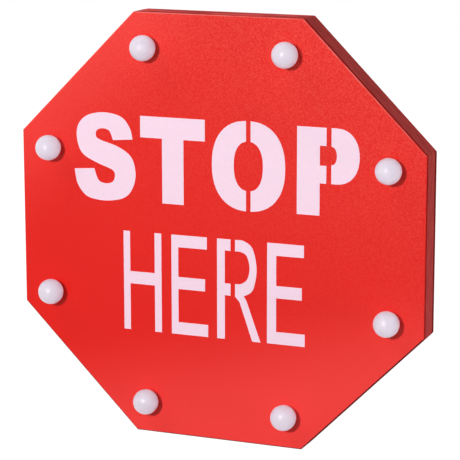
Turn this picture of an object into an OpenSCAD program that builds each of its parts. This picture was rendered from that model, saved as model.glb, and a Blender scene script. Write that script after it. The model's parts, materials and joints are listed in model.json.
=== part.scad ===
// Light-up stop sign: an octagonal box of painted fibreboard with eight frosted ball lamps.
// It stands on its bottom side, faces -Y, and its origin is the middle of the bottom side.
// Two AA cells sit in a moulded compartment that opens at the back.
// Board, rails, lamps and wires are drawn lying down, with +Z towards the viewer, and stood up.

/* [Sign box] */
// Width of the octagon across its flats
sign_w = 300; // [290:1:330]
// Length of the top, bottom, left and right sides
side_l = 125; // [118:0.5:132]
// Depth of the box from face to back
box_d = 24; // [22:0.5:26]
// Thickness of the face board
face_t = 3; // [2.5:0.25:3]
// Thickness of the back board
back_t = 6; // [5:0.25:6]
// Width of the side rails, measured inwards
rail_w = 12; // [10:0.5:14]
// Rounding of the face's outer arris
arris_r = 0.8; // [0.4:0.1:1.5]
// Rounding of the back board's outer arris
back_arris_r = 2; // [1:0.25:3.5]
// Rounding of the back board's eight corners
back_corner_r = 4; // [2:0.5:8]
// Rounding of the rails' mitred corners
rail_corner_r = 1; // [0.5:0.25:2]

/* [Lamps] */
// Diameter of a ball
globe_d = 18; // [17:0.5:20]
// Wall of a ball
globe_wall = 1.1; // [0.9:0.1:1.3]
// Outer diameter of a ball's neck
neck_d = 8; // [7.8:0.1:8.2]
// Distance from a flat side to the nearest lamp centre
lamp_inset = 24; // [22:0.5:28]
// Diameter of the push-on cap behind the board
cap_d = 13; // [12:0.5:15]

/* [Battery compartment] */
// Diameter of a cell
cell_d = 14.5; // [14:0.1:14.5]
// Length of a cell with its nub
cell_l = 50.5; // [50:0.1:50.5]
// Distance between the two cells' axes
cell_pitch = 15.3; // [15.1:0.1:15.6]
// Outer width of the cell tray
tray_w = 66; // [66:0.5:70]
// Outer height of the moulding that fills the cut-out
moulding_h = 40; // [40:0.5:42]
// Width that the switch well adds to the tray
switch_side_w = 20; // [20:0.5:24]
// Height of the compartment's middle, from the sign's middle
moulding_y = -70; // [-75:1:-40]
// Thickness of the lid
lid_t = 1.6; // [1.4:0.1:1.6]
// Radius of the lid's hinge barrel
barrel_r = 1.2; // [1.2:0.05:1.3]
// Radius of the lid's hinge pins
pin_r = 0.9; // [0.8:0.05:0.95]

/* [Switch] */
// Travel of the slider between off and on
switch_travel = 3.5; // [3:0.25:3.5]
// Depth of the finger well in front of the switch
well_d = 2.6; // [2.4:0.1:2.8]

/* [Hanging] */
// Diameter of a keyhole's entry
keyhole_d = 9; // [8.5:0.5:10]
// Width of a keyhole's slot
keyhole_slot_w = 4.4; // [4:0.1:4.6]
// Rise from the entry's middle to the slot's end
keyhole_rise = 10; // [9:0.5:12]
// Distance of each keyhole from the middle
keyhole_x = 70; // [60:1:80]
// Height of the keyholes, from the sign's middle
keyhole_y = 78; // [60:1:84]

/* [Hidden] */
$fn = 48;
LAMPS = 8;
SIDE_NAMES = [
    "right", "upper_right", "top", "upper_left", "left", "lower_left", "bottom", "lower_right"
];

red_paint = "#e6322d";
frosted = "#ece4ee";
black_plastic = "#26262a";
steel = "#b9bcc0";

// Clearance round a part that is pushed into a hole
fit = 0.1;
// Extra length of a cut, so that it passes its face
past = 1;

// Box levels
half_w = sign_w / 2;
half_side = side_l / 2;
face_z = box_d / 2;
back_z = -box_d / 2;
corners = [
    [half_w, half_side], [half_side, half_w], [-half_side, half_w], [-half_w, half_side],
    [-half_w, -half_side], [-half_side, -half_w], [half_side, -half_w], [half_w, -half_side]
];

// Lamp levels, measured from the face
globe_r = globe_d / 2;
neck_r = neck_d / 2;
neck_wall = 1;
neck_proud = 2.5;
neck_l = face_t + neck_proud;
seat_r = neck_r + 0.3;
globe_centre = sqrt(globe_r * globe_r - seat_r * seat_r);
lamp_r = (half_w - lamp_inset) / cos(22.5);
lamp_hole_d = neck_d + 2 * fit;
cap_t = 1.5;
sleeve_r = neck_r - neck_wall - fit;
sleeve_wall = 1;
led_d = 5;
led_l = 8.4;
led_flange_t = 1;
lead_w = 0.5;
lead_offset = 1.27;
lead_l = 7.2;
wire_d = 1.3;
wire_z = face_z - led_flange_t - lead_l - wire_d / 2;

// Compartment levels, measured from the back face
wall = 1.6;
ledge = 0.8;
sink = 0.2;
flange_t = 2;
flange_side = 10;
flange_top = 6;
tray_depth = 18.2;
floor_t = 1.3;
moulding_w = tray_w + switch_side_w;
tray_x = -switch_side_w / 2;
recess_w = tray_w - 2 * wall;
recess_h = moulding_h - 2 * wall;
bay_l = recess_w - 2 * ledge;
bay_h = recess_h - 2 * ledge;
lid_gap = 0.2;
lid_w = recess_w - 2 * lid_gap;
cell_axis = -(sink + lid_t + 0.4 + cell_d / 2);
boss_x = moulding_w / 2 + 5.5;
boss_y = 15;
boss_d = 6.6;

// Lid hinge
hinge_y = -recess_h / 2 + lid_gap + barrel_r;
hinge_z = -sink - barrel_r;
barrel_l = 55.8;
ear_gap = 0.3;
ear_in = barrel_l / 2 + ear_gap;
ear_up = 1.5;
pin_l = 2.5;
pin_play = 0.05;
latch_w = 13;
latch_l = 9;

// Contacts, along the bay from its middle
contact_t = 0.4;
contact_gap = 0.3;
contact_h = 11;
contact_face = bay_l / 2 - contact_gap - contact_t;
dimple_h = 0.8;
touch = 0.05;
cell_tip = contact_face - dimple_h - touch;
cell_base = cell_tip - cell_l;
spring_l = contact_face + cell_base;
tab_w = 3;
tab_out = 5.4;
tab_z = cell_axis - 4.5;

// Switch, round its own middle
switch_x = moulding_w / 2 - wall - (switch_side_w - wall) / 2;
panel_t = 1.6;
frame_t = 0.5;
frame_l = 20;
frame_w = 6.4;
can_l = 12.4;
can_depth = 5.2;
knob_l = 4;
knob_w = 2.8;
terminal_pitch = 4;
terminal_w = 1.6;
terminal_t = 0.6;
terminal_l = 3.6;
switch_screw_y = 8.25;
frame_top = -(well_d + panel_t);
can_bottom = frame_top - frame_t - can_depth;
terminal_end = can_bottom - terminal_l;

// Screws
board_screw_d = 3;
board_screw_l = 14;
box_screw_d = 2.9;
box_screw_l = 11;
head_d = 5.8;
head_sink = 0.1;

// A unit vector in the plane of the face
function heading(a) = [cos(a), sin(a)];

function unit(v) = v / norm(v);

function corner(k) = corners[(k + 8) % 8];

// A corner moved inwards along its mitre, d from both sides
function corner_inset(k, d) = corner(k) - d / cos(22.5) * heading(45 * k + 22.5);

function side_distance(k) = k % 2 == 0 ? half_w : (half_w + half_side) / sqrt(2);

// Lamps are numbered along the wiring, clockwise from the bottom left
function lamp_angle(n) = 247.5 - 45 * (n - 1);

function lamp_point(n, outwards) = (lamp_r + outwards) * heading(lamp_angle(n));

// A point of the compartment, in the lying sign's own directions
function from_back(p) = [-p[0], moulding_y + p[1], back_z - p[2]];

// A route with every inner corner eased by a short curve
function eased(a, b, c, reach, t) =
    let (
        start = b + reach * unit(a - b),
        end = b + reach * unit(c - b)
    )
    (1 - t) * (1 - t) * start + 2 * t * (1 - t) * b + t * t * end;

function bent(route, reach) = concat(
    [route[0]],
    [for (i = [1:len(route) - 2], t = [0:0.5:1])
        eased(route[i - 1], route[i], route[i + 1], reach, t)],
    [route[len(route) - 1]]
);

function tangent(path, i) =
    i == 0 ? unit(path[1] - path[0])
    : i == len(path) - 1 ? unit(path[i] - path[i - 1])
    : unit(unit(path[i] - path[i - 1]) + unit(path[i + 1] - path[i]));

// Stands the lying sign up on its bottom side
module stand() translate([0, 0, half_w]) rotate([90, 0, 0]) children();

// Places what is drawn with its outer face up at the back of the standing sign
module on_back() stand() translate([0, moulding_y, back_z]) rotate([0, 180, 0]) children();

// Places a piece of the bay: turn 0 for the upper cell, 1 for the lower one
module in_bay(turn) on_back() translate([tray_x, 0, 0]) rotate([0, 0, 180 * turn]) children();

module at_lamp(n)
    stand() translate([lamp_point(n, 0)[0], lamp_point(n, 0)[1], face_z])
        rotate([0, 0, lamp_angle(n)]) children();

// Octagon with its corners rounded by true arcs
module octagon(r) {
    reach = r * tan(22.5);
    polygon([for (k = [0:7], s = [-1, 1])
        corner(k) + s * reach * heading(45 * k + (s < 0 ? 90 : 135))]);
    for (k = [0:7]) translate(corner_inset(k, r)) circle(r);
}

// Cuts a rounded arris along all eight sides of a board whose outer face is at z = 0
module arris_cut(r)
    for (k = [0:7]) rotate([0, 0, 45 * k]) translate([side_distance(k) - r, 0, -r])
        rotate([90, 0, 0]) linear_extrude(height = sign_w, center = true) difference() {
            square(r + past);
            circle(r);
        }

module rounded_rect(w, h, r) {
    square([w - 2 * r, h], center = true);
    square([w, h - 2 * r], center = true);
    for (x = [-1, 1], y = [-1, 1]) translate([x * (w / 2 - r), y * (h / 2 - r)]) circle(r);
}

// A plate between two levels, low and high, with rounded corners
module slab(w, h, r, low, high)
    translate([0, 0, low]) linear_extrude(height = high - low) rounded_rect(w, h, r);

// Faces of a tube whose points come ring by ring
function tube_faces(rings, sides) = concat(
    [[for (a = [sides - 1:-1:0]) a]],
    [[for (a = [0:sides - 1]) (rings - 1) * sides + a]],
    [for (i = [0:rings - 2], a = [0:sides - 1])
        let (b = (a + 1) % sides)
        [i * sides + a, i * sides + b, (i + 1) * sides + b, (i + 1) * sides + a]]
);

// Tube along a route, for the insulated wires
module wire(route) {
    sides = 8;
    path = bent(route, 1.6);
    lean = [0.31, 0.17, 0.93];
    points = [for (i = [0:len(path) - 1], a = [0:sides - 1])
        let (
            ahead = tangent(path, i),
            across = unit(cross(ahead, lean)),
            up = cross(across, ahead)
        )
        path[i] + wire_d / 2 * (cos(360 * a / sides) * across + sin(360 * a / sides) * up)];
    polyhedron(points = points, faces = tube_faces(len(path), sides), convexity = 6);
}

// Countersunk cross-head screw, head up at z = 0
module countersunk_screw(shank_d, l) {
    head_h = (head_d - shank_d) / 2;
    tip = shank_d;
    difference() {
        union() {
            translate([0, 0, -head_h]) cylinder(h = head_h, d1 = shank_d, d2 = head_d);
            translate([0, 0, tip - l]) cylinder(h = l - tip, d = shank_d);
            translate([0, 0, -l]) cylinder(h = tip, d1 = 0.4, d2 = shank_d);
        }
        cross_recess(3.2, 1);
    }
}

module cross_recess(w, depth)
    for (a = [0, 90]) rotate([0, 0, a]) cube([w, 0.8, 2 * depth], center = true);

// The hole for a countersunk screw, mouth up at z = 0
module countersunk_hole(shank_d, depth) {
    hole_d = shank_d + 2 * fit;
    mouth_d = head_d + 2 * fit;
    cone_h = (mouth_d - hole_d) / 2;
    translate([0, 0, -depth]) cylinder(h = depth + past, d = hole_d);
    translate([0, 0, -cone_h - head_sink]) cylinder(h = cone_h, d1 = hole_d, d2 = mouth_d);
    translate([0, 0, -head_sink]) cylinder(h = head_sink + past, d = mouth_d);
}

module at_board_screws()
    for (k = [0:7]) rotate([0, 0, 45 * k])
        translate([side_distance(k) - rail_w / 2, 0, back_z]) rotate([0, 180, 0]) children();

module at_box_screws()
    for (x = [-boss_x, boss_x], y = [-boss_y, boss_y]) translate([x, y, 0]) children();

module face_board() color(red_paint) stand() difference() {
    translate([0, 0, face_z - face_t]) linear_extrude(height = face_t) polygon(corners);
    translate([0, 0, face_z]) arris_cut(arris_r);
    for (n = [1:LAMPS]) translate([lamp_point(n, 0)[0], lamp_point(n, 0)[1], face_z - face_t - past])
        cylinder(h = face_t + 2 * past, d = lamp_hole_d);
}

module keyhole() {
    circle(d = keyhole_d);
    translate([-keyhole_slot_w / 2, 0]) square([keyhole_slot_w, keyhole_rise]);
    translate([0, keyhole_rise]) circle(d = keyhole_slot_w);
}

module back_board() color(red_paint) {
    difference() {
        stand() difference() {
            translate([0, 0, back_z]) linear_extrude(height = back_t) octagon(back_corner_r);
            translate([0, 0, back_z]) mirror([0, 0, 1]) arris_cut(back_arris_r);
            for (x = [-keyhole_x, keyhole_x]) translate([x, keyhole_y, back_z - past])
                linear_extrude(height = back_t + 2 * past) keyhole();
            at_board_screws() countersunk_hole(board_screw_d, back_t + past);
        }
        on_back() {
            slab(moulding_w + 4 * fit, moulding_h + 4 * fit, 3 + 2 * fit, -back_t - past, past);
            at_box_screws() countersunk_hole(box_screw_d, back_t + past);
        }
    }
}

// One side of the box, mitred at both ends, with a pilot hole for its screw
module rail(k) color(red_paint) stand() difference() {
    translate([0, 0, back_z + back_t]) linear_extrude(height = box_d - face_t - back_t) intersection() {
        polygon([corner(k - 1), corner(k), corner_inset(k, rail_w), corner_inset(k - 1, rail_w)]);
        octagon(rail_corner_r);
    }
    rotate([0, 0, 45 * k]) translate([side_distance(k) - rail_w / 2, 0, back_z])
        cylinder(h = board_screw_l + past, d = board_screw_d + fit);
}

module globe(n) color(frosted) at_lamp(n) rotate_extrude() difference() {
    union() {
        intersection() {
            translate([0, globe_centre]) circle(globe_r, $fn = 96);
            square([globe_r + past, 2 * globe_d]);
        }
        translate([0, -neck_l]) square([neck_r, neck_l + globe_wall / 2]);
    }
    intersection() {
        translate([0, globe_centre]) circle(globe_r - globe_wall, $fn = 96);
        square([globe_r + past, 2 * globe_d]);
    }
    translate([0, -neck_l - past]) square([neck_r - neck_wall, neck_l + past + globe_centre]);
}

module led(n) color("#f4efd8") at_lamp(n) {
    dome_z = led_l - led_flange_t - led_d / 2;
    translate([0, 0, -led_flange_t]) cylinder(h = led_flange_t, d = led_d + 0.7);
    cylinder(h = dome_z, d = led_d);
    translate([0, 0, dome_z]) sphere(d = led_d);
    for (x = [-lead_offset, lead_offset])
        translate([x - lead_w / 2, -lead_w / 2, -led_flange_t - lead_l])
            cube([lead_w, lead_w, lead_l + led_flange_t / 2]);
}

// Skirt round the neck, sleeve inside it and a disc that closes both
module lamp_cap(n) color("#d9d9d6") at_lamp(n) difference() {
    rotate_extrude() {
        translate([0, -neck_l - cap_t]) square([cap_d / 2, cap_t]);
        translate([neck_r + fit / 2, -neck_l]) square([cap_d / 2 - neck_r - fit / 2, neck_proud]);
        translate([sleeve_r - sleeve_wall, -neck_l]) square([sleeve_wall, neck_l - led_flange_t]);
    }
    for (x = [-lead_offset, lead_offset]) translate([x, 0, -neck_l - cap_t - past])
        cylinder(h = cap_t + 2 * past, d = 0.9);
}

// Wires on the lamps: the positive one on the outer leads, the negative one on the inner leads
function lamp_run(order, outwards) =
    [for (n = order) [lamp_point(n, outwards)[0], lamp_point(n, outwards)[1], wire_z]];

module positive_wire() color("#c8202a") stand() wire(concat(
    [from_back([switch_x + terminal_t / 2 + touch, terminal_pitch, terminal_end + 0.9])],
    [[-37, -66, 1.6], [-46, -72, 2], [-47, -100, 2.1], [-45, -123, 2.1], [-48.5, -128.5, 2.1]],
    lamp_run([1:LAMPS], lead_offset)
));

module negative_wire() color("#1c1c1e") stand() wire(concat(
    [from_back([tray_x - bay_l / 2 - tab_out - touch, -cell_pitch / 2, tab_z])],
    [[50, -77.65, 2.95], [52, -84, 2.5], [50, -100, 2.2], [46, -112, 2.1], [47.5, -121.5, 2.1]],
    lamp_run([LAMPS:-1:1], -lead_offset)
));

module switch_lead() color("#c8202a") stand() wire(concat(
    [from_back([tray_x - bay_l / 2 - tab_out - touch, cell_pitch / 2, tab_z])],
    [[50, -62.35, 2.95], [51, -50, 2.4], [46, -45.5, 2], [-20, -45.5, 2], [-26, -50, 2], [-26, -66, 1.8]],
    [[-28, -70, 1.6]],
    [from_back([switch_x - terminal_t / 2 - touch, 0, terminal_end + 0.9])]
));

// Moulded tray for two cells, with a rim in the cut-out, an inner flange and the switch well
module battery_box() color(black_plastic) on_back() difference() {
    union() {
        difference() {
            union() {
                slab(moulding_w, moulding_h, 3, -back_t - flange_t, -sink);
                slab(
                    moulding_w + 2 * flange_side, moulding_h + 2 * flange_top, 4,
                    -back_t - flange_t, -back_t
                );
                translate([tray_x, 0, 0]) slab(tray_w, moulding_h, 3, -tray_depth, -sink);
                at_box_screws() translate([0, 0, -box_screw_l - 1])
                    cylinder(h = box_screw_l + 1 - back_t, d = boss_d);
            }
            translate([tray_x, 0, 0]) {
                slab(recess_w, recess_h, 1.4, -sink - lid_t - fit, past);
                slab(bay_l, bay_h, 1, -tray_depth + floor_t, past);
            }
            switch_spaces();
        }
        translate([tray_x, 0, 0]) {
            hinge_ears();
            cradle_ribs();
            contact_guides();
        }
    }
    translate([tray_x, 0, 0]) {
        hinge_spaces();
        tab_slots();
    }
    at_box_screws() translate([0, 0, -box_screw_l - fit])
        cylinder(h = box_screw_l, d = box_screw_d + fit);
}

// Finger well, slot and screw holes of the switch panel, and the chamber behind it
module switch_spaces() translate([switch_x, 0, 0]) {
    well_w = switch_side_w - wall;
    slab(well_w, recess_h, 1.4, -well_d, past);
    slab(well_w, recess_h, 1.4, -back_t - flange_t - past, frame_top);
    slab(knob_w + 0.6, knob_l + switch_travel + 0.8, 0.4, frame_top - past, past);
    for (y = [-switch_screw_y, switch_screw_y]) translate([0, y, frame_top - past])
        cylinder(h = panel_t + 2 * past, d = 2.2);
}

module hinge_ears() for (side = [-1, 1])
    translate([side > 0 ? ear_in : -recess_w / 2 - past / 2, -recess_h / 2 - past / 2, -3.4])
        cube([recess_w / 2 + past / 2 - ear_in, past / 2 + hinge_y + ear_up + recess_h / 2, 3.4 - sink]);

// Trough under the barrel, the pins' bores and the latch's groove
module hinge_spaces() {
    translate([-ear_in, -recess_h / 2, hinge_z - barrel_r - 0.4])
        cube([2 * ear_in, 3.2, barrel_r + 2]);
    translate([0, hinge_y, hinge_z]) rotate([0, 90, 0])
        cylinder(h = 2 * (ear_in + pin_l), r = pin_r + pin_play, center = true);
    translate([0, recess_h / 2, hinge_z]) rotate([0, 90, 0])
        cylinder(h = latch_w + 1, r = 0.5, center = true);
}

// Two ribs across the floor, hollowed to the cells' shape
module cradle_ribs() difference() {
    for (x = [-16, 16]) translate([x - 0.75, -bay_h / 2 - past / 2, -tray_depth + floor_t / 2])
        cube([1.5, bay_h + past, 6]);
    for (y = [-cell_pitch / 2, cell_pitch / 2]) translate([0, y, cell_axis]) rotate([0, 90, 0])
        cylinder(h = bay_l, d = cell_d + 2 * fit, center = true);
}

// Upright guides that hold the contact plates against the end walls
module contact_guides() {
    guide_y = cell_pitch / 2 + contact_h / 2 + 0.75;
    for (x = [-1, 1], y = [-guide_y, guide_y])
        translate([x * (contact_face - 0.75), y, -tray_depth + floor_t / 2 + 4])
            cube([1.2, 2.4, 9], center = true);
}

module tab_slots() for (y = [-cell_pitch / 2, cell_pitch / 2])
    translate([-tray_w / 2 - past, y - tab_w / 2 - 0.3, tab_z - 0.5])
        cube([2 * wall + 2 * past, tab_w + 0.6, 1]);

// Lid with barrel, pins and a latch tongue cut free on both sides
module battery_lid() color(black_plastic) in_bay(0) {
    top = recess_h / 2 - lid_gap;
    foot = hinge_y + ear_up + 0.6;
    difference() {
        union() {
            translate([0, (top + foot) / 2, 0]) slab(lid_w, top - foot, 1.3, -sink - lid_t, -sink);
            translate([-barrel_l / 2, hinge_y, -sink - lid_t])
                cube([barrel_l, foot - hinge_y + 2 * past, lid_t]);
            translate([-23, -0.5, -sink - lid_t - 2]) cube([46, 1, 2 + lid_t / 2]);
        }
        for (x = [-1, 1]) translate([x * (latch_w / 2 + 0.5), top - latch_l / 2, 0])
            cube([1, latch_l + fit, 4 * lid_t], center = true);
        translate([0, top - latch_l / 2, 7.1 - sink]) rotate([0, 90, 0])
            cylinder(h = latch_w - 3, r = 8, center = true);
    }
    translate([0, hinge_y, hinge_z]) rotate([0, 90, 0]) {
        cylinder(h = barrel_l, r = barrel_r, center = true);
        cylinder(h = barrel_l + 2 * (ear_gap + pin_l) - 0.6, r = pin_r, center = true);
    }
    translate([0, top - 0.2, hinge_z]) rotate([0, 90, 0])
        cylinder(h = latch_w - 1, r = 0.32, center = true);
    for (i = [-1:1]) translate([0, top - latch_l / 2 + 1.5 * i, -sink - 0.75])
        cube([latch_w - 5, 0.6, 0.7], center = true);
}

// AA cell: can with crimped shoulders and a nub, lying along the bay
module cell(turn) color("#3f5f8a") in_bay(turn)
    translate([-cell_base, cell_pitch / 2, cell_axis]) rotate([0, -90, 0]) rotate_extrude() {
        r = cell_d / 2;
        can_l = cell_l - 1.1;
        polygon([
            [0, 0], [5.2, 0], [5.4, 0.3], [6.4, 0.3], [r, 1], [r, can_l - 0.7], [6.6, can_l],
            [2.9, can_l], [2.75, cell_l - 0.3], [2.45, cell_l], [0, cell_l]
        ]);
    }

// Conical contact spring, wide at the plate and narrow at the cell
module contact_spring(turn) color(steel) in_bay(turn)
    translate([contact_face, cell_pitch / 2, cell_axis]) {
        sides = 6;
        steps = 14;
        turns = 4.5;
        thick = 0.32;
        rings = turns * steps;
        length = spring_l - 2 * (thick + touch);
        points = [for (i = [0:rings], a = [0:sides - 1])
            let (
                share = i / rings,
                turned = 360 * i / steps,
                radius = 4.5 - 1.6 * share,
                flat = 0.75 / turns,
                rise = min(1, max(0, (share - flat) / (1 - 2 * flat))),
                outwards = [0, cos(turned), sin(turned)],
                middle = [-thick - touch - length * rise, 0, 0] + radius * outwards
            )
            middle + thick * (cos(360 * a / sides) * outwards + sin(360 * a / sides) * [1, 0, 0])];
        polyhedron(points = points, faces = tube_faces(rings + 1, sides), convexity = 8);
    }

// Plate against an end wall: low and high are its edges across the bay
module contact_plate(low, high)
    translate([-contact_face - contact_t, low, cell_axis - contact_h / 2])
        cube([contact_t, high - low, contact_h]);

// Pressed dimple that meets a cell's nub
module dimple(y) translate([-contact_face, y, cell_axis]) rotate([0, 90, 0])
    cylinder(h = dimple_h, d1 = 5.4, d2 = 4);

module solder_tab(y) translate([-bay_l / 2 - tab_out, y - tab_w / 2, tab_z - contact_t / 2])
    cube([tab_out + contact_gap + contact_t / 2, tab_w, contact_t]);

module bridge_contact() color(steel) in_bay(1) {
    reach = cell_pitch / 2 + contact_h / 2;
    contact_plate(-reach, reach);
    dimple(cell_pitch / 2);
}

module plus_contact() color(steel) in_bay(0) {
    y = cell_pitch / 2;
    contact_plate(y - contact_h / 2, y + contact_h / 2);
    dimple(y);
    solder_tab(y);
}

module minus_contact() color(steel) in_bay(0) {
    y = -cell_pitch / 2;
    contact_plate(y - contact_h / 2, y + contact_h / 2);
    solder_tab(y);
}

// Steel frame: a top plate with ears and a slot, folded down into a can
module switch_frame() color(steel) on_back() translate([switch_x, 0, frame_top]) difference() {
    union() {
        slab(frame_w, frame_l, 1, -frame_t, -touch);
        slab(frame_w, can_l, 0.6, -frame_t - can_depth, -touch);
    }
    slab(frame_w - 0.8, can_l - 0.8, 0.3, -frame_t - can_depth - past, -frame_t);
    slab(knob_w + 0.8, knob_l + switch_travel + 1, 0.4, -past, past);
    for (y = [-switch_screw_y, switch_screw_y]) translate([0, y, -frame_t - past])
        cylinder(h = frame_t + 2 * past, d = 2.1);
}

module switch_base() color("#6b4a2c") on_back() translate([switch_x, 0, can_bottom]) {
    slab(frame_w - 1, can_l - 1, 0.3, 0, 1.6);
    for (i = [-1:1]) translate([0, i * terminal_pitch, (1.6 - terminal_l) / 2])
        cube([terminal_t, terminal_w, terminal_l + 1.6], center = true);
}

// Finger knob and the carriage that runs inside the can
module switch_slider() color("#111113") on_back()
    translate([switch_x, -switch_travel / 2, frame_top]) {
        slab(knob_w, knob_l, 0.4, -frame_t - 1.4, well_d + panel_t - 0.5);
        slab(frame_w - 1.4, can_l - 1.4 - switch_travel, 0.3, -frame_t - 1.6, -frame_t - 0.3);
    }

module switch_screws() color(steel) on_back()
    for (y = [-switch_screw_y, switch_screw_y]) translate([switch_x, y, -well_d]) difference() {
        union() {
            rotate_extrude() intersection() {
                translate([0, -1.2]) circle(2.5);
                square([1.9, 2]);
            }
            translate([0, 0, -4]) cylinder(h = 4.2, d = 1.9);
        }
        translate([0, 0, 1.3]) cross_recess(2.2, 0.7);
    }

module box_screws() color(steel) on_back() at_box_screws()
    translate([0, 0, -head_sink]) countersunk_screw(box_screw_d, box_screw_l - head_sink - 0.3);

module board_screws() color(steel) stand() at_board_screws()
    translate([0, 0, -head_sink]) countersunk_screw(board_screw_d, board_screw_l - head_sink);

face_board();
back_board();
for (k = [0:7]) {
    rail(k);
}
for (n = [1:LAMPS]) {
    globe(n);
    led(n);
    lamp_cap(n);
}
positive_wire();
negative_wire();
switch_lead();
battery_box();
battery_lid();
cell(0);  // cell_upper
cell(1);  // cell_lower
contact_spring(0);  // spring_upper
contact_spring(1);  // spring_lower
bridge_contact();
plus_contact();
minus_contact();
switch_frame();
switch_base();
switch_slider();
switch_screws();
box_screws();
board_screws();
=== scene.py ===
# %% [markdown]
# # Dressing a light-up stop sign
# The sign is an octagonal box of fibreboard, 300 mm across its flats and 24 mm deep, sprayed with red
# lacquer. Eight frosted balls stand round its rim, two words lie on its face in white film, and a
# battery compartment is let into its back. The solids come ready made, in metres, with Z up and the
# face looking along -Y, and none of them is moved or reshaped here. What this script adds is the
# finish of every surface, the lettering, the light and the camera.

# %% Load the solids
import json
import math

import bmesh
import bpy
from mathutils import Euler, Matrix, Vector


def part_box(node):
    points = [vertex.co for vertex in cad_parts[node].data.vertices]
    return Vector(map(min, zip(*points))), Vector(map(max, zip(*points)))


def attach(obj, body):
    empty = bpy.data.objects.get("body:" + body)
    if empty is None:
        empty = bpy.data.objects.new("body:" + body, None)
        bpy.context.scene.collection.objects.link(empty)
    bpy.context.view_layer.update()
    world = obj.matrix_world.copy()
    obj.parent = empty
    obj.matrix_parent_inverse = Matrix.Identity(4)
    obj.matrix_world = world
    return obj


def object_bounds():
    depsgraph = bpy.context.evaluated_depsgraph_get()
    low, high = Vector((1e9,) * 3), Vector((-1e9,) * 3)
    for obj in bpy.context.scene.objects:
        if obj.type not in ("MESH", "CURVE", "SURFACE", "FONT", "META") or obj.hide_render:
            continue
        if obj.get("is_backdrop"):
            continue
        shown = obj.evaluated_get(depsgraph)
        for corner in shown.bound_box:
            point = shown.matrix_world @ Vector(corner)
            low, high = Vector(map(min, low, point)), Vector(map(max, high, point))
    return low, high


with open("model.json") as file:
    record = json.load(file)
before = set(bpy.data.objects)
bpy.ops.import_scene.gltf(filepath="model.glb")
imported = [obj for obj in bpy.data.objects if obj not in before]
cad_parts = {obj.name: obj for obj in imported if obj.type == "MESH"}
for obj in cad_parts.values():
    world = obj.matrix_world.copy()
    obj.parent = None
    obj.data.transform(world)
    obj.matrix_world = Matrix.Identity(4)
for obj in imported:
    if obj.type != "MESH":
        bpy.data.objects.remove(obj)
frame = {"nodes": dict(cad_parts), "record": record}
cad_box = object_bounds()
nodes = frame["nodes"]
MM = 0.001
sides_mm = [round(side / MM, 1) for side in cad_box[1] - cad_box[0]]
print(f"{len(nodes)} solids loaded, in a box of {sides_mm} mm")

# %% [markdown]
# ## Where the camera stands
# The picture looks at the sign from its right and a little from above, and the octagon's far sides are
# hardly shorter than its near ones, which means a long lens from more than a metre away. The camera
# could be moved by eye until the corners meet. It was worked out from them instead: the face is a
# regular shape of known size, so its eight corners in the picture fix the distance, the three turns
# and the focal length together. A focal length in pixels becomes one in millimetres by the share of
# the picture that the sensor's width stands for.

# %% Camera
PICTURE_PX = 460
FOCAL_PX = 2130
SENSOR_MM = 36
CAMERA_PLACE_M = (0.5562, -1.3423, 0.4549)
CAMERA_TURNS_DEG = (78.105, 0.067, 22.330)

camera = bpy.data.objects.new("camera", bpy.data.cameras.new("camera"))
camera.data.sensor_width = SENSOR_MM
camera.data.lens = FOCAL_PX / PICTURE_PX * SENSOR_MM
camera.location = CAMERA_PLACE_M
camera.rotation_euler = Euler([math.radians(turn) for turn in CAMERA_TURNS_DEG])
bpy.context.scene.collection.objects.link(camera)
bpy.context.scene.camera = camera
bpy.context.scene.view_settings.view_transform = "Standard"
print(f"lens {camera.data.lens:.1f} mm, {camera.location.length:.2f} m from the sign's foot")

# %% [markdown]
# ## Helpers for every finish
# A hex colour is written for the eye, on the sRGB scale, and a shader works on a linear one, so one
# function turns the first into the second. Another adds a node: it sets the node's own properties, its
# input values and the links that come into it, so that each finish below reads as a list of what it is
# made of. A third starts a finish with an empty node tree. The last sizes patterns in millimetres: a
# noise whose scale is one over a length in metres has grains of about that length, because the
# solids' coordinates are metres.

# %% Colour, node and scale helpers
# The sockets of a Mix node that mixes colours
MIX_A, MIX_B, MIX_OUT = 6, 7, 2


def linear(hex_code):
    """The linear RGBA of an sRGB colour such as #E8322D."""
    channels = [int(hex_code[i:i + 2], 16) / 255 for i in (1, 3, 5)]
    return [c / 12.92 if c <= 0.04045 else ((c + 0.055) / 1.055) ** 2.4 for c in channels] + [1.0]


def add(tree, kind, values=None, links=None, **settings):
    """Adds a node, with its properties, its input values and the outputs that feed it."""
    node = tree.nodes.new(kind)
    for name, setting in settings.items():
        setattr(node, name, setting)
    for socket, value in (values or {}).items():
        node.inputs[socket].default_value = value
    for socket, source in (links or {}).items():
        tree.links.new(source, node.inputs[socket])
    return node


def new_finish(name):
    """An empty material and its node tree."""
    finish = bpy.data.materials.new(name)
    finish.use_nodes = True
    finish.node_tree.nodes.clear()
    return finish, finish.node_tree


def grains(size_mm):
    """The noise scale that gives grains of about this size."""
    return 1 / (size_mm * MM)


print(f"signal red is {[round(c, 3) for c in linear('#E8322D')[:3]]} on the linear scale")

# %% [markdown]
# ## The studio
# The sign stands on a white table in a white room. A white that comes from more lamps would bleach
# the object, so the white that the camera sees is given to the room by the kind of ray that meets it:
# rays from the camera, and those that a glossy or clear surface sends on, find plain white, and all
# others find the room's real, lower light. The table is a broad sheet that takes seven tenths of its
# white in the same way and keeps three tenths of its real light, so the sign's soft shadow still shows
# on it. The glow is a little over one because the paper's own share is dimmer than white.

# %% Room and table
ROOM_LIGHT = 0.15
TABLE_GLOW = 0.70
TABLE_WHITE = 1.40
TABLE_HALF_M = 9


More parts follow.
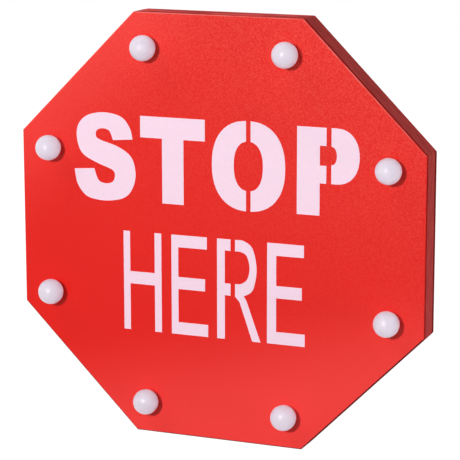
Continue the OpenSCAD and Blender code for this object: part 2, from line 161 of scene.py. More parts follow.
def seen_directly(tree):
    """One for rays from the camera, a glossy or a clear surface, and zero for all others."""
    rays = add(tree, "ShaderNodeLightPath")
    pair = add(tree, "ShaderNodeMath", operation="MAXIMUM",
               links={0: rays.outputs["Is Camera Ray"], 1: rays.outputs["Is Glossy Ray"]})
    return add(tree, "ShaderNodeMath", operation="MAXIMUM",
               links={0: pair.outputs[0], 1: rays.outputs["Is Transmission Ray"]}).outputs[0]


room = bpy.data.worlds.new("white_room")
room.use_nodes = True
tree = room.node_tree
tree.nodes.clear()
dim = add(tree, "ShaderNodeBackground", {"Color": linear("#FFFFFF"), "Strength": ROOM_LIGHT})
white = add(tree, "ShaderNodeBackground", {"Color": linear("#FFFFFF"), "Strength": 1.0})
either = add(tree, "ShaderNodeMixShader",
             links={0: seen_directly(tree), 1: dim.outputs[0], 2: white.outputs[0]})
add(tree, "ShaderNodeOutputWorld", links={"Surface": either.outputs[0]})
bpy.context.scene.world = room

paper, tree = new_finish("white_table_paper")
sheet = add(tree, "ShaderNodeBsdfDiffuse", {"Color": linear("#A4A4A4")})
glow = add(tree, "ShaderNodeEmission", {"Color": linear("#FFFFFF"), "Strength": TABLE_WHITE})
share = add(tree, "ShaderNodeMath", {1: TABLE_GLOW}, {0: seen_directly(tree)}, operation="MULTIPLY")
blend = add(tree, "ShaderNodeMixShader",
            links={0: share.outputs[0], 1: sheet.outputs[0], 2: glow.outputs[0]})
add(tree, "ShaderNodeOutputMaterial", links={"Surface": blend.outputs[0]})

table_mesh = bpy.data.meshes.new("table")
corners = [(x * TABLE_HALF_M, y * TABLE_HALF_M, 0) for x, y in ((-1, -1), (1, -1), (1, 1), (-1, 1))]
table_mesh.from_pydata(corners, [], [(0, 1, 2, 3)])
table_mesh.materials.append(paper)
table = bpy.data.objects.new("table", table_mesh)
bpy.context.scene.collection.objects.link(table)
table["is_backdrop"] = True
print(f"room light {ROOM_LIGHT}, table {2 * TABLE_HALF_M} m wide")

# %% [markdown]
# ## The lamps
# Each ball has one soft highlight a little left of its middle, and its shadow falls close behind it, to
# the right and a little down: the main lamp stands straight in front of the sign, a little higher than
# the lens. Three weaker ones fill in. One high on the left and one high behind light the top of the
# box, the brightest of its walls. One stands near the table on the right, so the right-hand wall is
# lit from below and the sloping wall above it stays dark. These three are kept out of reflections, so
# that no ball shows a second highlight.
#
# A lamp's watts are worked out from the share of full daylight that it should give. At a distance d
# a lamp of P watts lights a surface that faces it to P / (pi^2 d^2) of its written colour.

# %% Lamps
SIGN_MIDDLE = Vector((0, 0, 0.15))


def soft_lamp(name, azimuth, elevation, distance, size, share, in_reflections=True):
    """A square lamp that looks at the sign. Azimuth 0 is in front of it, 90 on its right."""
    turn, rise = math.radians(azimuth), math.radians(elevation)
    lamp = bpy.data.lights.new(name, "AREA")
    lamp.size = size
    lamp.energy = share * math.pi ** 2 * distance ** 2
    holder = bpy.data.objects.new(name, lamp)
    level = math.cos(rise)
    towards = Vector((math.sin(turn) * level, -math.cos(turn) * level, math.sin(rise)))
    holder.location = SIGN_MIDDLE + towards * distance
    holder.rotation_euler = towards.to_track_quat("Z", "Y").to_euler()
    holder.visible_camera = False
    holder.visible_glossy = in_reflections
    bpy.context.scene.collection.objects.link(holder)
    print(f"{name}: {lamp.energy:.1f} W at {distance} m")


soft_lamp("front_lamp", azimuth=-4, elevation=17, distance=2.4, size=0.18, share=0.73)
soft_lamp("left_lamp", azimuth=-50, elevation=50, distance=1.8, size=0.8, share=0.17,
          in_reflections=False)
soft_lamp("right_lamp", azimuth=84, elevation=-9, distance=0.75, size=0.1, share=0.26,
          in_reflections=False)
soft_lamp("back_lamp", azimuth=-135, elevation=45, distance=2.0, size=0.8, share=0.57,
          in_reflections=False)

# %% [markdown]
# ## Satin red lacquer: the coat
# The boards are fibreboard, sprayed with a satin acrylic lacquer. It could be one even red, but a hand
# that sprays a board leaves more in one place than in another. The full coat drifts between two reds
# that hardly differ. Toward the upper left and along the bottom it is painted paler: a painted sheen
# that stands in for the soft reflection of the lamps and the table. The dot product of a point's place
# with a direction says how far that way it lies, and a smooth step turns that distance into a share. One
# function does both, because the mottle below needs them too.

# %% Full coat and painted sheen
def share_toward(tree, place, direction, from_mm, to_mm, low=0.0, high=1.0):
    """A share that rises smoothly from low to high between two distances in a direction."""
    reach = add(tree, "ShaderNodeVectorMath", {1: direction}, {0: place}, operation="DOT_PRODUCT")
    return add(tree, "ShaderNodeMapRange",
               {"From Min": from_mm * MM, "From Max": to_mm * MM, "To Min": low, "To Max": high},
               {"Value": reach.outputs["Value"]}, interpolation_type="SMOOTHSTEP").outputs[0]


lacquer, tree = new_finish("satin_red_lacquer")
place = add(tree, "ShaderNodeTexCoord").outputs["Object"]
clouds = add(tree, "ShaderNodeTexNoise", {"Scale": grains(45), "Detail": 2.0}, {"Vector": place})
full_coat = add(tree, "ShaderNodeMix", {MIX_A: linear("#DC160E"), MIX_B: linear("#E21A12")},
                {0: clouds.outputs["Fac"]}, data_type="RGBA")
# Painted sheen: the coat is painted paler toward the upper left and along the bottom, for the reflection
# of lamps and table
sheen_upper_left = share_toward(tree, place, direction=(-0.7, 0, 0.7), from_mm=190, to_mm=285)
sheen_bottom = share_toward(tree, place, direction=(0.25, 0, -1), from_mm=-98, to_mm=-14)
painted_sheen = add(tree, "ShaderNodeMath", links={0: sheen_upper_left, 1: sheen_bottom}, operation="MAXIMUM")
coat_with_sheen = add(tree, "ShaderNodeMix", {MIX_B: linear("#EF3B37")},
             {0: painted_sheen.outputs[0], MIX_A: full_coat.outputs[MIX_OUT]}, data_type="RGBA")
print(f"coat: {len(tree.nodes)} nodes")

# %% [markdown]
# ## Satin red lacquer: the mottle
# Over the coat lies a fine, paler mottle. It is partly specks of half-dry spray and partly painted
# glints that stand in for the sparkle of the orange peel. It is strongest toward the upper right and
# almost nil at the lower left. It is drawn 0.9 mm apart, about twice as coarse as it is, so that a pixel
# of the picture can show it.

# %% Mottle
MOTTLE_MM = 0.9
# Paler specks: partly half-dry spray, partly painted glints of the orange peel, strongest toward the
# upper right
speck_noise = add(tree, "ShaderNodeTexNoise", {"Scale": grains(MOTTLE_MM), "Detail": 2.0, "Roughness": 0.6},
            {"Vector": place})
mottle = add(tree, "ShaderNodeMapRange", {"From Min": 0.38, "From Max": 0.66},
             {"Value": speck_noise.outputs["Fac"]})
speck_spread = share_toward(tree, place, direction=(0.4, 0, 1), from_mm=20, to_mm=480, low=0.02, high=0.54)
specks_and_glints = add(tree, "ShaderNodeMath", links={0: mottle.outputs[0], 1: speck_spread}, operation="MULTIPLY")
mottled = add(tree, "ShaderNodeMix", {MIX_B: linear("#F06356")},
              {0: specks_and_glints.outputs[0], MIX_A: coat_with_sheen.outputs[MIX_OUT]}, data_type="RGBA")
print(f"mottle: {MOTTLE_MM} mm apart, {len(tree.nodes)} nodes so far")

# %% [markdown]
# ## Satin red lacquer: the arrises
# Along the arrises that look upward a pale line is painted in, broken up by a noise: a painted highlight
# of the lamps above on the rounded arris. The arrises that look down are painted dark and dull: a
# painted shade, as light from above does not reach them. Only an arris has a normal that points up or
# down, so the normal's Z finds both.

# %% Painted highlight and shade on the arrises
# Painted shade: the dark red put on surfaces that look down
PAINTED_SHADE_RED = linear("#4E0A0C")
facing = add(tree, "ShaderNodeNewGeometry").outputs["Normal"]
upward = add(tree, "ShaderNodeSeparateXYZ", links={0: facing}).outputs["Z"]
# Painted highlight: a pale line along the arrises that look up, broken up by this noise
highlight_noise = add(tree, "ShaderNodeTexNoise", {"Scale": grains(20), "Detail": 2.0}, {"Vector": place})
highlight_strength = add(tree, "ShaderNodeMapRange",
              {"From Min": 0.4, "From Max": 0.6, "To Min": 0.05, "To Max": 0.32},
              {"Value": highlight_noise.outputs["Fac"]})
painted_highlight = add(tree, "ShaderNodeMapRange", {"From Min": 0.1, "From Max": 0.4},
           {"Value": upward, "To Max": highlight_strength.outputs[0]})
highlighted = add(tree, "ShaderNodeMix", {MIX_B: linear("#E9A79F")},
             {0: painted_highlight.outputs[0], MIX_A: mottled.outputs[MIX_OUT]}, data_type="RGBA")
# Painted shade: the arrises that look down are painted dark
shade_below = add(tree, "ShaderNodeMapRange", {"From Min": -0.05, "From Max": -0.3}, {"Value": upward})
shaded = add(tree, "ShaderNodeMix", {MIX_B: PAINTED_SHADE_RED},
              {0: shade_below.outputs[0], MIX_A: highlighted.outputs[MIX_OUT]}, data_type="RGBA")
print(f"arrises: {len(tree.nodes)} nodes so far")

# %% [markdown]
# ## Satin red lacquer: the skin
# Sprayed lacquer dries with an orange peel: low, smooth waves a couple of millimetres apart, which break
# up the shine. Acrylic lacquer has an index of refraction of about 1.49. The powder that makes it satin
# also takes away a part of its mirror reflection, so the specular level is lower than the 0.5 of a clear
# coat. Where the arrises look down, under the painted shade, the coat is rough, and the shine goes.

# %% Orange peel and shine
ACRYLIC_IOR = 1.49
PEEL_MM = 2.2
peel = add(tree, "ShaderNodeTexNoise", {"Scale": grains(PEEL_MM), "Detail": 1.0}, {"Vector": place})
waves = add(tree, "ShaderNodeBump", {"Strength": 0.6, "Distance": 0.08 * MM},
            {"Height": peel.outputs["Fac"]})
dullness = add(tree, "ShaderNodeMapRange", {"To Min": 0.33, "To Max": 0.9}, {"Value": shade_below.outputs[0]})
coat = add(tree, "ShaderNodeBsdfPrincipled", {"IOR": ACRYLIC_IOR, "Specular IOR Level": 0.22},
           {"Base Color": shaded.outputs[MIX_OUT], "Roughness": dullness.outputs[0],
            "Normal": waves.outputs[0]})
add(tree, "ShaderNodeOutputMaterial", links={"Surface": coat.outputs[0]})
print(f"{lacquer.name}: {len(tree.nodes)} nodes")

# %% [markdown]
# ## The same lacquer on sawn edges
# A sawn edge of fibreboard drinks the lacquer, so it is dull and paler there, with no shine at all, and
# short fibres stand up and lie along the board. How far back a point lies, its Y, tells which board it
# is on. The front board's edge catches the spray of the face and is a deeper red, and the rails are
# dull. The back board's edge carries painted light and shade: it is painted light where it looks up, and
# dark on the right and below.

# %% Three boards' edges
# Over how far the rails' tone turns into the back board's painted light and shade, behind the joint
BACK_JOINT_FROM_MM, BACK_JOINT_TO_MM = 0.2, 0.8
joint_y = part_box("face_board")[1].y
back_joint_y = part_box("rail_right")[1].y

edge_coat, tree = new_finish("red_lacquer_on_sawn_fibreboard")
place = add(tree, "ShaderNodeTexCoord").outputs["Object"]
depth = add(tree, "ShaderNodeSeparateXYZ", links={0: place}).outputs["Y"]
along = add(tree, "ShaderNodeMapping", {"Scale": (0.15, 1, 0.15)}, {"Vector": place})
fibres = add(tree, "ShaderNodeTexNoise", {"Scale": grains(2.5), "Detail": 4.0, "Roughness": 0.6},
             {"Vector": along.outputs[0]})
thin_coat = add(tree, "ShaderNodeMix", {MIX_A: linear("#9C302F"), MIX_B: linear("#FA6865")},
                {0: fibres.outputs["Fac"]}, data_type="RGBA")
front_edge = add(tree, "ShaderNodeMath", {1: joint_y}, {0: depth}, operation="LESS_THAN")
two_coats = add(tree, "ShaderNodeMix", {MIX_B: linear("#C4201D")},
                {0: front_edge.outputs[0], MIX_A: thin_coat.outputs[MIX_OUT]}, data_type="RGBA")
facing = add(tree, "ShaderNodeNewGeometry").outputs["Normal"]
upward = add(tree, "ShaderNodeSeparateXYZ", links={0: facing}).outputs["Z"]
# Painted light and shade: the back board's edge is painted light where it looks up and dark elsewhere
lit_from_above = add(tree, "ShaderNodeMapRange", {"From Min": 0.2, "From Max": 0.6}, {"Value": upward})
back_light_and_shade = add(tree, "ShaderNodeMix", {MIX_A: linear("#861716"), MIX_B: linear("#DC4F4D")},
                {0: lit_from_above.outputs[0]}, data_type="RGBA")
on_back = add(tree, "ShaderNodeMapRange",
              {"From Min": back_joint_y + BACK_JOINT_FROM_MM * MM,
               "From Max": back_joint_y + BACK_JOINT_TO_MM * MM, "To Max": 0.9}, {"Value": depth})
three_boards = add(tree, "ShaderNodeMix", data_type="RGBA", links={
    0: on_back.outputs[0], MIX_A: two_coats.outputs[MIX_OUT], MIX_B: back_light_and_shade.outputs[MIX_OUT]})
print(f"joints at y = {joint_y / MM:.1f} and {back_joint_y / MM:.1f} mm")

# %% [markdown]
# ## Marks and joints on the edges
# Hands lift the sign by its top, and have left long, darker marks there: a noise that is stretched
# sideways and cut off sharply, drawn only where the surface lies level. The edges that look down are
# painted a shade darker, a painted shade. A dark line marks the joint behind the face board.

# %% Marks, painted shade on the lower edges, and joint line
JOINT_LINE_MM = 0.6
sideways = add(tree, "ShaderNodeMapping", {"Scale": (0.25, 1, 1)}, {"Vector": place})
grip = add(tree, "ShaderNodeTexNoise", {"Scale": grains(7), "Detail": 4.0, "Roughness": 0.6},
           {"Vector": sideways.outputs[0]})
marks = add(tree, "ShaderNodeMapRange", {"From Min": 0.47, "From Max": 0.55, "To Max": 0.45},
            {"Value": grip.outputs["Fac"]})
level = add(tree, "ShaderNodeMath", {1: 0.9}, {0: upward}, operation="GREATER_THAN")
on_top = add(tree, "ShaderNodeMath", links={0: marks.outputs[0], 1: level.outputs[0]},
             operation="MULTIPLY")
handled = add(tree, "ShaderNodeMix", {MIX_B: linear("#641A1C")},
              {0: on_top.outputs[0], MIX_A: three_boards.outputs[MIX_OUT]}, data_type="RGBA")
# Painted shade: the edges that look down are painted a shade darker
shade_below = add(tree, "ShaderNodeMapRange", {"From Min": -0.1, "From Max": -0.7, "To Max": 0.4},
            {"Value": upward})
shaded = add(tree, "ShaderNodeMix", {MIX_B: PAINTED_SHADE_RED},
              {0: shade_below.outputs[0], MIX_A: handled.outputs[MIX_OUT]}, data_type="RGBA")
from_joint = add(tree, "ShaderNodeMath", {1: joint_y}, {0: depth}, operation="SUBTRACT")
gap = add(tree, "ShaderNodeMath", links={0: from_joint.outputs[0]}, operation="ABSOLUTE")
in_joint = add(tree, "ShaderNodeMapRange",
               {"From Max": JOINT_LINE_MM * MM, "To Min": 0.6, "To Max": 0.0}, {"Value": gap.outputs[0]})
jointed = add(tree, "ShaderNodeMix", {MIX_B: linear("#4A0C0C")},
              {0: in_joint.outputs[0], MIX_A: shaded.outputs[MIX_OUT]}, data_type="RGBA")
raised = add(tree, "ShaderNodeBump", {"Strength": 0.6, "Distance": 0.12 * MM},
             {"Height": fibres.outputs["Fac"]})
edge = add(tree, "ShaderNodeBsdfPrincipled",
           {"Roughness": 0.85, "IOR": ACRYLIC_IOR, "Specular IOR Level": 0.0},
           {"Base Color": jointed.outputs[MIX_OUT], "Normal": raised.outputs[0]})
add(tree, "ShaderNodeOutputMaterial", links={"Surface": edge.outputs[0]})
print(f"{edge_coat.name}: {len(tree.nodes)} nodes")

# %% [markdown]
# ## Opal acrylic balls
# The balls are moulded in opal acrylic, hollow, with a smooth skin. Opal plastic holds fine white
# particles that scatter light below the surface, so its shaded side is never dark and takes up the red
# of the board behind it. Two things together give that: subsurface scattering, which carries light a
# few millimetres sideways and red a little deeper than blue, and a translucent share, which lets light
# through the thin wall. Over both lies the shine of the skin. Its strength follows from acrylic's
# index of refraction, and only on the outside: the inner side of the wall sends no highlight out.

# %% Opal balls
opal, tree = new_finish("opal_acrylic")
place = add(tree, "ShaderNodeTexCoord").outputs["Object"]
haze = add(tree, "ShaderNodeTexNoise", {"Scale": grains(3), "Detail": 2.0}, {"Vector": place})
milk = add(tree, "ShaderNodeMix", {MIX_A: linear("#ECEBF2"), MIX_B: linear("#F1F0F5")},
           {0: haze.outputs["Fac"]}, data_type="RGBA")
inner = add(tree, "ShaderNodeBsdfPrincipled",
            {"Roughness": 0.5, "IOR": ACRYLIC_IOR, "Specular IOR Level": 0.0, "Subsurface Weight": 1.0,
             "Subsurface Radius": (1.0, 0.7, 0.7), "Subsurface Scale": 5 * MM},
            {"Base Color": milk.outputs[MIX_OUT]})
let_through = add(tree, "ShaderNodeBsdfTranslucent", links={"Color": milk.outputs[MIX_OUT]})
cloudy = add(tree, "ShaderNodeMixShader", {0: 0.75}, {1: inner.outputs[0], 2: let_through.outputs[0]})
skin = add(tree, "ShaderNodeBsdfGlossy", {"Color": linear("#FFFFFF"), "Roughness": 0.36})
glancing = add(tree, "ShaderNodeFresnel", {"IOR": ACRYLIC_IOR})
inside = add(tree, "ShaderNodeNewGeometry").outputs["Backfacing"]
outside = add(tree, "ShaderNodeMath", {0: 1.0}, {1: inside}, operation="SUBTRACT")
mirrored = add(tree, "ShaderNodeMath", links={0: glancing.outputs[0], 1: outside.outputs[0]},
               operation="MULTIPLY")
ball = add(tree, "ShaderNodeMixShader",
           links={0: mirrored.outputs[0], 1: cloudy.outputs[0], 2: skin.outputs[0]})
add(tree, "ShaderNodeOutputMaterial", links={"Surface": ball.outputs[0]})
print(f"{opal.name}: {len(tree.nodes)} nodes")

# %% [markdown]
# ## White vinyl film
# The words are cut from self-adhesive vinyl, a calendered PVC film with a satin surface. It is a cool
# white that the red board tints. The film follows the lacquer under it, so a trace of the orange
# peel comes through.

# %% Vinyl film
film, tree = new_finish("white_vinyl_film")
place = add(tree, "ShaderNodeTexCoord").outputs["Object"]
under = add(tree, "ShaderNodeTexNoise", {"Scale": grains(PEEL_MM), "Detail": 1.0}, {"Vector": place})
tone = add(tree, "ShaderNodeMix", {MIX_A: linear("#EFD0E1"), MIX_B: linear("#F3D6E7")},
           {0: under.outputs["Fac"]}, data_type="RGBA")
print_through = add(tree, "ShaderNodeBump", {"Strength": 0.3, "Distance": 0.03 * MM},
                    {"Height": under.outputs["Fac"]})
vinyl = add(tree, "ShaderNodeBsdfPrincipled", {"Roughness": 0.5, "IOR": 1.53},
            {"Base Color": tone.outputs[MIX_OUT], "Normal": print_through.outputs[0]})
add(tree, "ShaderNodeOutputMaterial", links={"Surface": vinyl.outputs[0]})
print(f"{film.name}: {len(tree.nodes)} nodes")

# %% [markdown]
# ## Black ABS with a spark-eroded grain
# The battery box, its lid and the switch's knob are moulded in black ABS. The mould's faces are left
# as the spark erosion made them, a fine, even pitting that gives the plastic its dull grey sheen.
# The pits are about 0.15 mm wide. They are drawn at 0.5 mm so that they show in a near view.

# %% Black ABS
abs_black, tree = new_finish("spark_eroded_black_abs")
place = add(tree, "ShaderNodeTexCoord").outputs["Object"]
pits = add(tree, "ShaderNodeTexVoronoi", {"Scale": grains(0.5)}, {"Vector": place})
tone = add(tree, "ShaderNodeMix", {MIX_A: linear("#1B1B1D"), MIX_B: linear("#2A2A2D")},
           {0: pits.outputs["Distance"]}, data_type="RGBA")
grain = add(tree, "ShaderNodeBump", {"Strength": 0.35, "Distance": 0.03 * MM},
            {"Height": pits.outputs["Distance"]})
moulded = add(tree, "ShaderNodeBsdfPrincipled", {"Roughness": 0.55, "IOR": 1.54},
              {"Base Color": tone.outputs[MIX_OUT], "Normal": grain.outputs[0]})
add(tree, "ShaderNodeOutputMaterial", links={"Surface": moulded.outputs[0]})
print(f"{abs_black.name}: {len(tree.nodes)} nodes")

# %% [markdown]
# ## Plated metal
# The contact plates and springs are nickel-plated steel, warm and bright. The screws are zinc-plated,
# cooler and duller, and the tumbling that screws get in the bath leaves small soft scratches. Both are
# metals, so their colour is the colour of their reflections. Only the tint, the roughness and the
# scratches differ, so one loop makes both.

# %% Nickel and zinc
# Name: tint, roughness of the polished parts, size of the scratches in mm
METALS = {
    "bright_nickel_plate": ("#CFC8BA", 0.22, 0.9),
    "bright_zinc_plate": ("#C3C8CC", 0.34, 0.5),
}
metals = {}
for name, (tint, roughness, scratch_mm) in METALS.items():
    metals[name], tree = new_finish(name)
    place = add(tree, "ShaderNodeTexCoord").outputs["Object"]
    scratches = add(tree, "ShaderNodeTexNoise",
                    {"Scale": grains(scratch_mm), "Detail": 4.0, "Distortion": 1.5}, {"Vector": place})
    worn = add(tree, "ShaderNodeMapRange", {"To Min": roughness - 0.06, "To Max": roughness + 0.1},
               {"Value": scratches.outputs["Fac"]})
    dents = add(tree, "ShaderNodeBump", {"Strength": 0.2, "Distance": 0.01 * MM},
                {"Height": scratches.outputs["Fac"]})
    plate = add(tree, "ShaderNodeBsdfPrincipled", {"Base Color": linear(tint), "Metallic": 1.0},
                {"Roughness": worn.outputs[0], "Normal": dents.outputs[0]})
    add(tree, "ShaderNodeOutputMaterial", links={"Surface": plate.outputs[0]})
print(f"plated metals: {sorted(metals)}")

# %% [markdown]
# ## Cells and light diodes
# Two of the solids are made of two things. A battery cell wears a lacquered sleeve and shows bare
# nickel at its ends. Generated coordinates run from 0 to 1 along each solid, so they find the ends of
# both cells, although these lie staggered. A light diode is a body of milky epoxy on two tinned leads,
# which begin where the body ends, a known depth behind its tip. The place decides on the colour and on
# whether it is metal.

# %% Cell sleeve
BARE_FROM = 0.47
sleeve, tree = new_finish("lacquered_cell_sleeve")
places = add(tree, "ShaderNodeTexCoord")
along = add(tree, "ShaderNodeSeparateXYZ", links={0: places.outputs["Generated"]}).outputs["X"]
offset = add(tree, "ShaderNodeMath", {1: 0.5}, {0: along}, operation="SUBTRACT")
reach = add(tree, "ShaderNodeMath", links={0: offset.outputs[0]}, operation="ABSOLUTE")
bare = add(tree, "ShaderNodeMath", {1: BARE_FROM}, {0: reach.outputs[0]}, operation="GREATER_THAN")
tone = add(tree, "ShaderNodeMix", {MIX_A: linear("#3D5A52"), MIX_B: linear("#CFC8BA")},
           {0: bare.outputs[0]}, data_type="RGBA")
gloss = add(tree, "ShaderNodeTexNoise", {"Scale": grains(6), "Detail": 2.0},
            {"Vector": places.outputs["Object"]})
shine = add(tree, "ShaderNodeMapRange", {"To Min": 0.22, "To Max": 0.34},
            {"Value": gloss.outputs["Fac"]})
can = add(tree, "ShaderNodeBsdfPrincipled", links={
    "Base Color": tone.outputs[MIX_OUT], "Metallic": bare.outputs[0], "Roughness": shine.outputs[0]})
add(tree, "ShaderNodeOutputMaterial", links={"Surface": can.outputs[0]})
print(f"{sleeve.name}: bare beyond {BARE_FROM} of its length from the middle")

# %% Light diodes
DIODE_BODY_MM = 8.4
leads_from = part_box("led_1")[0].y + DIODE_BODY_MM * MM
diode, tree = new_finish("milky_epoxy_on_tinned_leads")
place = add(tree, "ShaderNodeTexCoord").outputs["Object"]
depth = add(tree, "ShaderNodeSeparateXYZ", links={0: place}).outputs["Y"]
lead = add(tree, "ShaderNodeMath", {1: leads_from}, {0: depth}, operation="GREATER_THAN")
swirl = add(tree, "ShaderNodeTexNoise", {"Scale": grains(2), "Detail": 2.0}, {"Vector": place})
epoxy = add(tree, "ShaderNodeMix", {MIX_A: linear("#EFEAD6"), MIX_B: linear("#F6F2E4")},
            {0: swirl.outputs["Fac"]}, data_type="RGBA")
tone = add(tree, "ShaderNodeMix", {MIX_B: linear("#CDCDCB")},
           {0: lead.outputs[0], MIX_A: epoxy.outputs[MIX_OUT]}, data_type="RGBA")
diode_body = add(tree, "ShaderNodeBsdfPrincipled", {"Roughness": 0.25},
                 {"Base Color": tone.outputs[MIX_OUT], "Metallic": lead.outputs[0]})
add(tree, "ShaderNodeOutputMaterial", links={"Surface": diode_body.outputs[0]})
print(f"{diode.name}: leads from {DIODE_BODY_MM} mm behind the tip")

# %% [markdown]
# ## Wires and the plastics inside
# The wires are PVC, glossy from the extruder. The lamps' caps are natural nylon, slightly clear, and
# the switch stands on a brown board of pressed paper and phenolic resin. All are plain plastics that
# differ in colour, roughness, index and the size of their mottle, so one loop makes them.

# %% Plastics inside the box
# Name: colours between which the plastic varies, roughness, index of refraction, grain in mm
PLASTICS = {
    "red_pvc_insulation": ("#B0151B", "#BE1C22", 0.28, 1.53, 3.0),
    "black_pvc_insulation": ("#141416", "#1D1D20", 0.28, 1.53, 3.0),
    "natural_nylon": ("#DCD9CE", "#E6E3DA", 0.45, 1.53, 1.0),
    "phenolic_paper_board": ("#5E3B1F", "#7A5230", 0.60, 1.55, 0.8),
}
plastics = {}
for name, (dark, light, roughness, index, grain_mm) in PLASTICS.items():
    plastics[name], tree = new_finish(name)
    place = add(tree, "ShaderNodeTexCoord").outputs["Object"]
    mottle = add(tree, "ShaderNodeTexNoise", {"Scale": grains(grain_mm), "Detail": 3.0},
                 {"Vector": place})
    tone = add(tree, "ShaderNodeMix", {MIX_A: linear(dark), MIX_B: linear(light)},
               {0: mottle.outputs["Fac"]}, data_type="RGBA")
    skin = add(tree, "ShaderNodeBump", {"Strength": 0.2, "Distance": 0.02 * MM},
               {"Height": mottle.outputs["Fac"]})
    body = add(tree, "ShaderNodeBsdfPrincipled", {"Roughness": roughness, "IOR": index},
               {"Base Color": tone.outputs[MIX_OUT], "Normal": skin.outputs[0]})
    add(tree, "ShaderNodeOutputMaterial", links={"Surface": body.outputs[0]})
print(f"inner plastics: {sorted(plastics)}")

# %% [markdown]
# ## Giving each solid its finish
# The record names a slot for each solid, after what it is made of. One table says which finish goes
# with which slot, and a loop puts it on every solid that has the slot.

# %% Finishes on the solids
FINISHES = {
    "red_lacquer": lacquer,
    "frosted_globe": opal,
    "led_epoxy": diode,
    "natural_nylon": plastics["natural_nylon"],
    "black_abs": abs_black,
    "cell_can": sleeve,
    "nickel_steel": metals["bright_nickel_plate"],
    "zinc_screw": metals["bright_zinc_plate"],
    "red_pvc": plastics["red_pvc_insulation"],
    "black_pvc": plastics["black_pvc_insulation"],
    "phenolic_board": plastics["phenolic_paper_board"],
}
for part in frame["record"]["subparts"]:
    mesh = nodes[part["node"]].data
    mesh.materials.clear()
    mesh.materials.append(FINISHES[part["material_slot"]])
print(f"{len(nodes)} solids dressed in {len(FINISHES)} finishes")

# %% [markdown]
# ## Which face of a board is an edge
# Each board shows both kinds of lacquer. Its solid gets a second material slot, and every small face
# of it that looks along the board rather than out of its front or back goes into that slot. The face's
# own rounded arris keeps most of its lacquer, so the limit toward the front is the tighter one.

# %% Edges of the boards
EDGE_SLOT = 1
FRONT_LIMIT, BACK_LIMIT = -0.3, 0.7
edge_faces = 0
for part in frame["record"]["subparts"]:
    if part["material_slot"] == "red_lacquer":
        mesh = nodes[part["node"]].data
        mesh.materials.append(edge_coat)
        for polygon in mesh.polygons:
            if FRONT_LIMIT < polygon.normal.y < BACK_LIMIT:
                polygon.material_index = EDGE_SLOT
                edge_faces += 1
print(f"{edge_faces} small faces are sawn edges")

# %% [markdown]
# ## Lines for the letters
# The words are plain stencil capitals: straight strokes, round bowls, and a narrow bridge of board
# where a closed letter would drop its middle. A font would bring its own proportions, so the outlines
# are drawn, in millimetres from the middle of the face, x to the right and z up. Straight strokes
# are corner points. Round ones are superellipses, which run a little fuller than an ellipse as bold
# capitals do, and the free curves of S and R go smoothly through a few knots.

# %% Curve helpers
def bowl(centre_x, centre_z, half_w, half_h, start, end, power=2.3, steps=24):
    """Points along a superellipse from one angle to another, in degrees."""
    points = []
    for i in range(steps + 1):
        angle = math.radians(start + (end - start) * i / steps)
        across, up = math.cos(angle), math.sin(angle)
        points.append((centre_x + half_w * math.copysign(abs(across) ** (2 / power), across),
                       centre_z + half_h * math.copysign(abs(up) ** (2 / power), up)))
    return points


def through(knots, steps=8):
    """A smooth line that passes through every knot, as a cubic between each two."""
    knots = [Vector(knot) for knot in knots]
    line = [2 * knots[0] - knots[1]] + knots + [2 * knots[-1] - knots[-2]]
    points = []
    for before, start, end, after in zip(line, line[1:], line[2:], line[3:]):
        for i in range(steps):
            t = i / steps
            bend = 2 * before - 5 * start + 4 * end - after
            twist = 3 * start - 3 * end + after - before
            points.append((2 * start + (end - before) * t + bend * t ** 2 + twist * t ** 3) / 2)
    return [tuple(point) for point in points + [knots[-1]]]


print(f"a half bowl has {len(bowl(0, 0, 1, 1, 90, -90))} points")

# %% [markdown]
# ## Cutting the film
# Each loose piece of film is a mesh of its own: its outline, filled, with a real thickness, so that it
# has an edge that takes light and a place on the board. It lies on the face and rides on the sign.

# %% Film cutter
FILM_MM = 0.15
face_low, face_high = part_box("face_board")
face_middle_z = (face_low.z + face_high.z) / 2


def cut_film(name, outline):
    """Makes one piece of film from the points of its outline, in millimetres from the face's middle."""
    cutter = bmesh.new()
    layers = []
    for y in (face_low.y - FILM_MM * MM, face_low.y):
        layers.append([cutter.verts.new((x * MM, y, face_middle_z + z * MM)) for x, z in outline])
    front, back = layers
    sides = [cutter.faces.new(layer) for layer in layers]
    for i in range(len(front)):
        cutter.faces.new((front[i - 1], front[i], back[i], back[i - 1]))
    bmesh.ops.recalc_face_normals(cutter, faces=cutter.faces)
    bmesh.ops.triangulate(cutter, faces=sides)
    mesh = bpy.data.meshes.new(name)
    cutter.to_mesh(mesh)
    cutter.free()
    mesh.materials.append(film)
    piece = bpy.data.objects.new(name, mesh)
    bpy.context.scene.collection.objects.link(piece)
    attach(piece, "sign")
    print(f"{name}: {len(mesh.polygons)} faces")


# %% [markdown]
# ## The upper word
# Its letters are bold, with strokes of 16 mm. The O is cut in two by its bridge, and a bridge
# parts the bowl of the P from its stem.

# %% Upper word
S_OVER = [(-63.9, 60.6), (-66, 68.5), (-72.5, 76), (-85.5, 78.6), (-98.5, 76), (-105.5, 69.5),
          (-107.2, 61.1), (-105, 51.7), (-100, 46.4), (-90, 41.9), (-80, 38.3), (-77.8, 34.4),
          (-79.5, 29.8), (-84.7, 28.2), (-90.5, 30), (-93.9, 38.4)]
S_UNDER = [(-109.2, 37.2), (-107, 26.5), (-99.5, 18), (-85.5, 15.8), (-71.5, 18.5), (-64.5, 25.5),
           (-61.9, 36.1), (-65, 47.8), (-75, 54.7), (-90, 59.4), (-92.3, 62.8), (-91, 66),
           (-86.7, 67.2), (-81.8, 65.7), (-79, 59.3)]
cut_film("film_s", through(S_OVER) + through(S_UNDER))

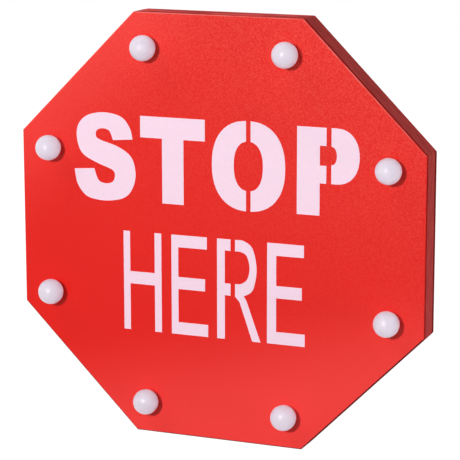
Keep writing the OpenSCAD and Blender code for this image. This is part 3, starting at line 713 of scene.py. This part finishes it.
T_TOP, T_BAR, T_FOOT = 77.7, 62.6, 16.9
cut_film("film_t", [(-58, T_TOP), (-58, T_BAR), (-41.5, T_BAR), (-41.5, T_FOOT), (-25.3, T_FOOT),
                    (-25.3, T_BAR), (-9.2, T_BAR), (-9.2, T_TOP)])

O_X, O_Z, O_BRIDGE = 23, 47.3, 3.4
for name, side in (("film_o_left", -1), ("film_o_right", 1)):
    bottom = 90 - side * 180
    ring = bowl(O_X, O_Z, 27, 31.4, 90, bottom) + bowl(O_X, O_Z, 10.75, 17.2, bottom, 90)
    bridge_x = O_X + side * O_BRIDGE / 2
    cut_film(name, [(max(x, bridge_x) if side > 0 else min(x, bridge_x), z) for x, z in ring])

P_TOP, P_UPPER, P_MIDDLE, P_LOWER, P_FOOT = 77.5, 65.1, 51.5, 39.3, 17
cut_film("film_p_stem", [(58.5, P_FOOT), (74.9, P_FOOT), (74.9, P_LOWER), (79.6, P_LOWER),
                         (79.6, P_MIDDLE), (74.9, P_MIDDLE), (74.9, P_UPPER), (79.6, P_UPPER),
                         (79.6, P_TOP), (58.5, P_TOP)])
P_OUTER = bowl(87, 58.4, 16.2, 19.1, 90, -90, power=2.2)
P_INNER = bowl(83.2, 58.5, 3.9, 6.3, -90, 90, power=2.2)
cut_film("film_p_bowl", [(83.2, P_TOP)] + P_OUTER + [(83.2, P_LOWER)] + P_INNER)

# %% [markdown]
# ## The lower word
# It is set in tall, narrow capitals with strokes of 5 to 9 mm. Both E's come from one function. The R
# is parted like the P, and its leg springs from the bowl.

# %% Lower word
TOP, FOOT = -4.7, -76
E_UPPER, E_MIDDLE_HIGH, E_MIDDLE_LOW, E_LOWER = -13.4, -34.7, -43.4, -67.3
H_BAR_HIGH, H_BAR_LOW = -33.6, -42.5


def letter_e(name, left, stem_right, upper_right, middle_right, lower_right):
    """An E with three bars of different lengths."""
    cut_film(name, [(left, TOP), (left, FOOT), (lower_right, FOOT), (lower_right, E_LOWER),
                    (stem_right, E_LOWER), (stem_right, E_MIDDLE_LOW), (middle_right, E_MIDDLE_LOW),
                    (middle_right, E_MIDDLE_HIGH), (stem_right, E_MIDDLE_HIGH), (stem_right, E_UPPER),
                    (upper_right, E_UPPER), (upper_right, TOP)])


cut_film("film_h", [(-71.7, TOP), (-71.7, FOOT), (-66.7, FOOT), (-66.7, H_BAR_LOW), (-47.8, H_BAR_LOW),
                    (-47.8, FOOT), (-42.6, FOOT), (-42.6, TOP), (-47.8, TOP), (-47.8, H_BAR_HIGH),
                    (-66.7, H_BAR_HIGH), (-66.7, TOP)])
letter_e("film_e_first", -34.9, -29.7, -8, -9.4, -7.2)
R_UPPER, R_MIDDLE = -12.8, -36.1
cut_film("film_r_stem", [(-0.3, TOP), (-0.3, FOOT), (5.5, FOOT), (5.5, -44.6), (9.8, -44.6),
                         (9.8, R_MIDDLE), (5.5, R_MIDDLE), (5.5, R_UPPER), (9.8, R_UPPER), (9.8, TOP)])
R_OUTER = [(13.2, TOP), (20, -5.2), (26.4, -10.4), (29.2, -24), (27.6, -36), (24.8, -41.3),
           (19.7, -44.2)]
R_LEG = [(21.5, -47), (32.2, FOOT), (26, FOOT), (16.5, -48.5), (13.2, -45)]
R_INNER = [(13.2, R_MIDDLE), (17.6, -35.6), (22.2, -32), (24, -24), (21.9, -15.6), (17.6, -13),
           (13.2, R_UPPER)]
cut_film("film_r_bowl", through(R_OUTER) + R_LEG + through(R_INNER))
letter_e("film_e_last", 37, 43.7, 63.9, 62.5, 64.8)

# %% [markdown]
# ## Checking the size
# The solids' box as it was loaded and the box of everything now are compared, and the most that any side
# has moved is printed.

# %% Size and finish
visual_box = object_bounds()
growth = max(abs(a - b) for i in (0, 1) for a, b in zip(cad_box[i], visual_box[i]))
print(f"box grew by {growth / MM:.3f} mm")
